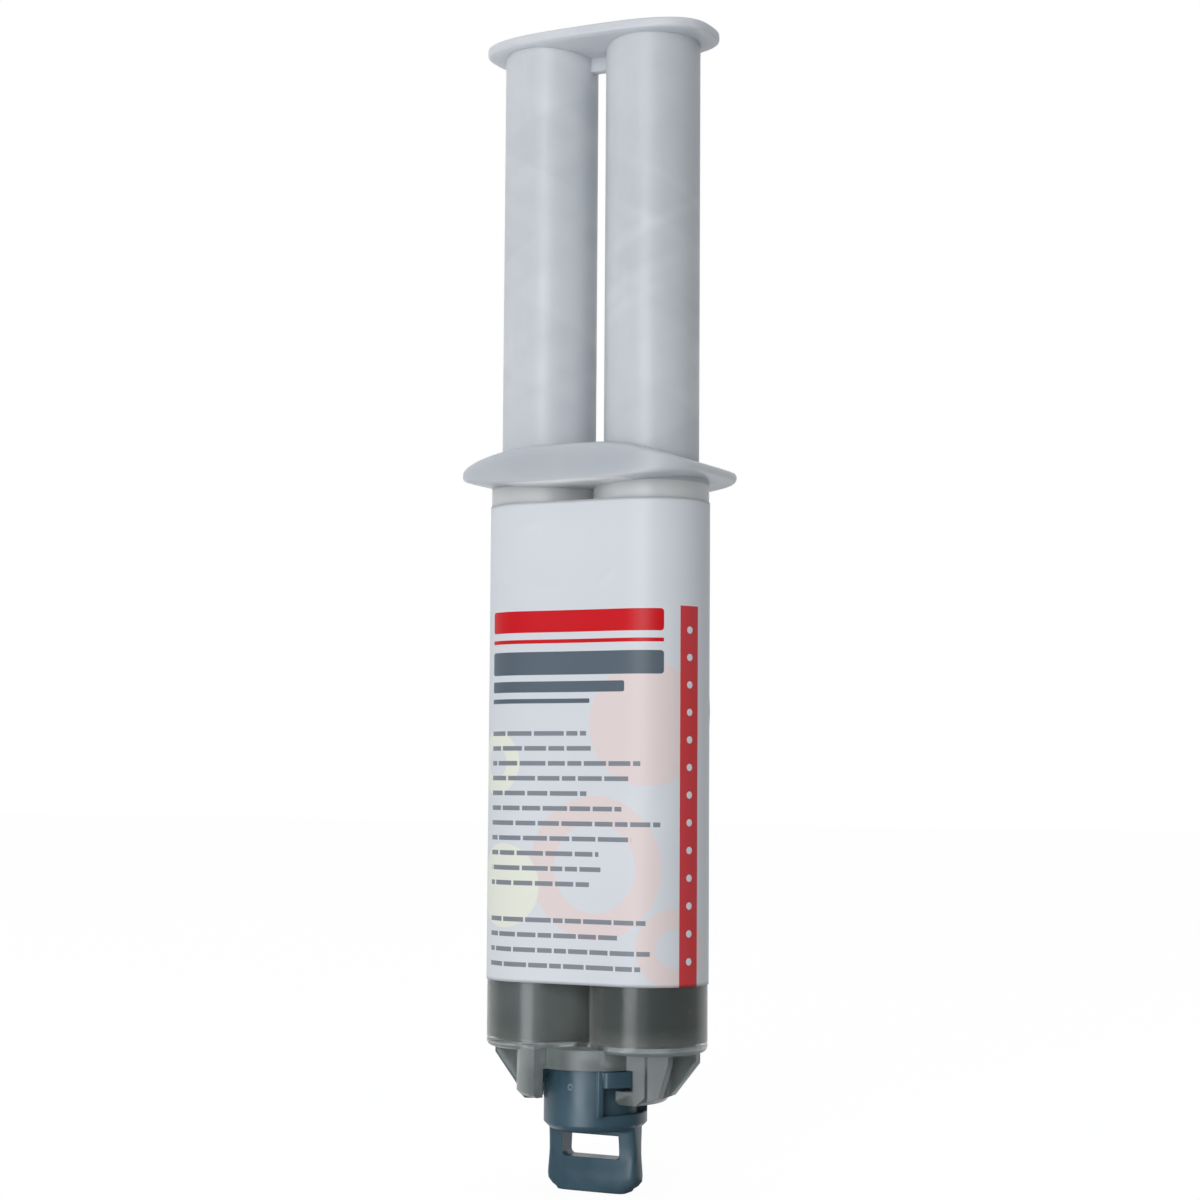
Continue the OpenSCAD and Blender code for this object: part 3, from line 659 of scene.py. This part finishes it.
colour = blended(nodes, links, cloud, PAPER, srgb(214, 219, 226))
for disc in PALE_DISCS:
    colour = stamp_disc(colour, disc)
for left, low, right, high, corner, ink in BLOCKS:
    colour = stamp(block_group, colour, ink, Middle_Across=(left + right) / 2, Middle_Up=(low + high) / 2,
                   Half_Width=(right - left) / 2, Half_Height=(high - low) / 2, Corner=corner)
for disc in STRIPE_DOTS:
    colour = stamp_disc(colour, disc)
for left, top, rows, step, share, shortest, longest, dash in PRINT_ROWS:
    colour = stamp(rows_group, colour, PRINT_GREY, Left=left, Top=top, Rows=rows, Row_Step=step,
                   Ink_Share=share, Shortest=shortest, Longest=longest, Dash_Length=dash)
links.new(colour, shader.inputs["Base Color"])
shader.inputs["Roughness"].default_value = 0.38
shader.inputs["Specular IOR Level"].default_value = 0.28
label.data.materials.append(material)
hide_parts("wrap_label")
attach(label, "barrels")

# Turn-lock cap
# A slate grey polypropylene moulding: a round body with two lugs that sit behind the hooks' feet,
# relieved flanks, and a flat grip tab with a slot. A gate mark shows on its front.

# Radius and lowest place of the cap's round body
CAP_R = 8.05 * MM
CAP_BODY_LOW = 10.6 * MM
cap = piece_from("cap_moulding", closed_copy("turn_cap"))
smooth_shade(cap, angle=40)
true_round(cap, 0, CAP_R, CAP_BODY_LOW)
material, nodes, links, shader = finish_material("slate_polypropylene")
cloud = moulded_skin(nodes, links, shader, 1600.0, 160.0, 0.015 * MM)
cloudy_colour(nodes, links, shader, cloud, srgb(52, 79, 92), srgb(63, 90, 104))
links.new(spread(nodes, links, cloud, 0.0, 1.0, 0.30, 0.38), shader.inputs["Roughness"])
cap.data.materials.append(material)
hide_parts("turn_cap")
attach(cap, "cap")

# The gate mark: a ring of torn, paler plastic where the runner was twisted off. Its place round the
# cap and up it, the ring's radius and half its thickness, and its sides round the tube and the ring
GATE_TURN = math.radians(-92)
GATE_Z = 16.6 * MM
GATE_R = 0.4 * MM
GATE_TUBE = 0.15 * MM
TUBE_SIDES, RING_SIDES = 12, 32
tube_turns = [2 * math.pi * k / TUBE_SIDES for k in range(TUBE_SIDES + 1)]
outline = [(GATE_R + GATE_TUBE * math.cos(turn), GATE_TUBE * math.sin(turn)) for turn in tube_turns]
gate = lathe("cap_gate_mark", outline, (0, 0), RING_SIDES)
gate.data.transform(Matrix.Translation((CAP_R * math.cos(GATE_TURN), CAP_R * math.sin(GATE_TURN), GATE_Z))
                    @ Matrix.Rotation(GATE_TURN, 4, "Z") @ Matrix.Rotation(math.radians(90), 4, "Y"))
smooth_shade(gate)
material, nodes, links, shader = finish_material("torn_gate")
cloud = moulded_skin(nodes, links, shader, 4000.0, 900.0, 0.02 * MM)
cloudy_colour(nodes, links, shader, cloud, srgb(84, 106, 116), srgb(132, 150, 158))
shader.inputs["Roughness"].default_value = 0.35
gate.data.materials.append(material)
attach(gate, "cap")

# Outlet plug
# A polyethylene plug snapped into the cap. Its two pins close the outlets, and it stays square to
# them while the cap turns round it.

material, nodes, links, shader = finish_material("slate_polyethylene")
cloud = moulded_skin(nodes, links, shader, 1600.0, 160.0, 0.01 * MM)
cloudy_colour(nodes, links, shader, cloud, srgb(58, 72, 82), srgb(70, 84, 94))
shader.inputs["Roughness"].default_value = 0.45
dress("outlet_plug", material)

# Studio
# A white floor that keeps a share of the syringe's shadow, and a white background. A tall soft lamp
# stands in front, right of the middle, a weaker one at the upper left, and the right side is dark.

FLOOR_SIZE = 6.0
# How much of the shadow shows on the floor, and how bright the floor glows
SHADOW_SHARE = 0.12
GLOW = 1.07
# Share of its glow that the floor lends to matt surfaces, in front and on the dark side
TABLE_SHARE, TABLE_DIM = 0.45, 0.08
# The floor's own colour, in the light that it throws back and in its shadow as seen
FLOOR_BOUNCE, FLOOR_SEEN = (0.5, 0.5, 0.5, 1), (0.8, 0.8, 0.8, 1)
# The side that is kept darker, with its soft edge on the floor, round the room and downwards
DARK_SIDE = (0.93, 0.36, 0.0)
DARK_FLOOR_EDGE, DARK_ROOM_EDGE, LOW_EDGE = (-0.2, 0.7), (-0.2, 0.8), (-0.7, 0.0)
# The side behind the syringe as the photograph shows it, and its soft edge
BACKDROP_SIDE = (-0.444, 0.896, 0.0)
BACKDROP_EDGE = (0.1, 0.5)
# A bright strip that only polished surfaces see in the floor: its side, its soft edges, its colour, and
# the distances from the syringe's foot over which it sets in
STRIP_SIDE = (-0.167, -0.986, 0.0)
STRIP_EDGE = (0.965, 0.992)
STRIP_GLOW = (5.9, 5.9, 6.1, 1)
STRIP_START = (0.015, 0.045)
WHITE = (1, 1, 1, 1)
# What polished surfaces see behind the syringe, in the floor in front, and over it on both sides
BACKDROP_GLOSS = (0.85, 0.86, 0.88, 1)
FLOOR_GLOSS = (0.12, 0.12, 0.13, 1)
PALE_GLOSS, DARK_GLOSS = (0.25, 0.26, 0.28, 1), (0.06, 0.06, 0.07, 1)
# The light that matt surfaces get from all round, and from low down on the dark side
PALE_ROOM, DARK_ROOM = (0.50, 0.51, 0.52, 1), (0.07, 0.07, 0.07, 1)


def side_share(nodes, links, direction, side, low, high):
    """How far a direction from the middle points to one side of the studio, from 0 to 1."""
    along = nodes.new("ShaderNodeVectorMath")
    along.operation = "DOT_PRODUCT"
    links.new(direction, along.inputs[0])
    along.inputs[1].default_value = side
    return spread(nodes, links, along.outputs["Value"], low, high)


def straight_view(nodes, links):
    """Light Path sockets, and the mask of rays that see the studio itself, also through clear pieces."""
    ray = nodes.new("ShaderNodeLightPath").outputs
    return ray, maths(nodes, links, "MAXIMUM", ray["Is Camera Ray"], ray["Is Transmission Ray"])


mesh = bmesh.new()
bmesh.ops.create_grid(mesh, x_segments=2, y_segments=2, size=FLOOR_SIZE / 2)
floor = piece_from("floor", mesh)
material, nodes, links, shader = finish_material("white_floor")
shader.inputs["Roughness"].default_value = 0.9
ray, seen = straight_view(nodes, links)
links.new(blended(nodes, links, seen, FLOOR_BOUNCE, FLOOR_SEEN), shader.inputs["Base Color"])
floor_place = own_position(nodes)
outward = nodes.new("ShaderNodeVectorMath")
outward.operation = "NORMALIZE"
links.new(floor_place, outward.inputs[0])
direction = outward.outputs["Vector"]
from_foot = nodes.new("ShaderNodeVectorMath")
from_foot.operation = "LENGTH"
links.new(floor_place, from_foot.inputs[0])
# Painted reflection: this strip glows on the floor for polished surfaces only, and makes the highlight
# bands on the barrels and the cap
strip = maths(nodes, links, "MULTIPLY", side_share(nodes, links, direction, STRIP_SIDE, *STRIP_EDGE),
              spread(nodes, links, from_foot.outputs["Value"], *STRIP_START))
in_front = blended(nodes, links, strip, FLOOR_GLOSS, STRIP_GLOW)
behind = side_share(nodes, links, direction, BACKDROP_SIDE, *BACKDROP_EDGE)
mirrored = blended(nodes, links, behind, in_front, BACKDROP_GLOSS)
glow = nodes.new("ShaderNodeEmission")
links.new(blended(nodes, links, ray["Is Glossy Ray"], (GLOW, GLOW, GLOW, 1), mirrored),
          glow.inputs["Color"])
dark_share = side_share(nodes, links, direction, DARK_SIDE, *DARK_FLOOR_EDGE)
table = maths(nodes, links, "MULTIPLY_ADD", dark_share, TABLE_DIM - TABLE_SHARE, TABLE_SHARE)
lit = maths(nodes, links, "MAXIMUM", maths(nodes, links, "MULTIPLY", seen, 1 - SHADOW_SHARE),
            maths(nodes, links, "MAXIMUM", ray["Is Glossy Ray"], table))
mix = nodes.new("ShaderNodeMixShader")
links.new(lit, mix.inputs[0])
links.new(shader.outputs[0], mix.inputs[1])
links.new(glow.outputs[0], mix.inputs[2])
links.new(mix.outputs[0], nodes["Material Output"].inputs[0])
floor.data.materials.append(material)

world = bpy.data.worlds.new("studio")
bpy.context.scene.world = world
world.use_nodes = True
nodes, links = world.node_tree.nodes, world.node_tree.links
direction = nodes.new("ShaderNodeTexCoord").outputs["Generated"]
dark_share = side_share(nodes, links, direction, DARK_SIDE, *DARK_ROOM_EDGE)
low_share = side_share(nodes, links, direction, (0.0, 0.0, -1.0), *LOW_EDGE)
dim_share = maths(nodes, links, "MULTIPLY", dark_share, low_share)
studio = blended(nodes, links, dim_share, PALE_ROOM, DARK_ROOM)
ray, seen = straight_view(nodes, links)
front_gloss = blended(nodes, links, dark_share, PALE_GLOSS, DARK_GLOSS)
behind = side_share(nodes, links, direction, BACKDROP_SIDE, *BACKDROP_EDGE)
gloss = blended(nodes, links, behind, front_gloss, BACKDROP_GLOSS)
mirrored = blended(nodes, links, ray["Is Glossy Ray"], studio, gloss)
links.new(blended(nodes, links, seen, mirrored, WHITE), nodes["Background"].inputs["Color"])


def soft_lamp(name, place, aim, width, height, power):
    """Rectangular area lamp at place, facing aim, in metres and watts."""
    light = bpy.data.lights.new(name, "AREA")
    light.shape = "RECTANGLE"
    light.size, light.size_y = width, height
    light.energy = power
    lamp = bpy.data.objects.new(name, light)
    bpy.context.scene.collection.objects.link(lamp)
    lamp.location = place
    lamp.rotation_euler = (Vector(aim) - Vector(place)).to_track_quat("-Z", "Y").to_euler()


soft_lamp("key_strip", (0.14, -0.79, 0.18), (0, 0, 0.10), 0.32, 0.66, 3.6)
soft_lamp("fill_left", (-0.9, -0.35, 0.55), (0, 0, 0.09), 0.9, 0.9, 0.7)

# Camera
# At the photograph's place: a little below the middle, looking up along the syringe from the
# front right, with a long lens.

CAMERA_PLACE = (0.16630, -0.33475, 0.06309)
AZIMUTH, PITCH, ROLL = (math.radians(a) for a in (26.39, 4.39, -0.377))
SENSOR = 36.0
LENS = 71.14
right = Vector((math.cos(AZIMUTH), math.sin(AZIMUTH), 0))
level = Vector((-math.sin(AZIMUTH), math.cos(AZIMUTH), 0))
up = Vector((0, 0, 1))
forward = math.cos(PITCH) * level + math.sin(PITCH) * up
upright = math.cos(PITCH) * up - math.sin(PITCH) * level
rolled_right = math.cos(ROLL) * right - math.sin(ROLL) * upright
rolled_up = math.cos(ROLL) * upright + math.sin(ROLL) * right
lens = bpy.data.cameras.new("camera")
lens.sensor_width = SENSOR
lens.lens = LENS
lens.clip_start = 0.01
camera = bpy.data.objects.new("camera", lens)
bpy.context.scene.collection.objects.link(camera)
turned = Matrix((rolled_right, rolled_up, -forward)).transposed().to_4x4()
camera.matrix_world = Matrix.Translation(CAMERA_PLACE) @ turned
bpy.context.scene.camera = camera
bpy.context.scene.view_settings.view_transform = "Standard"
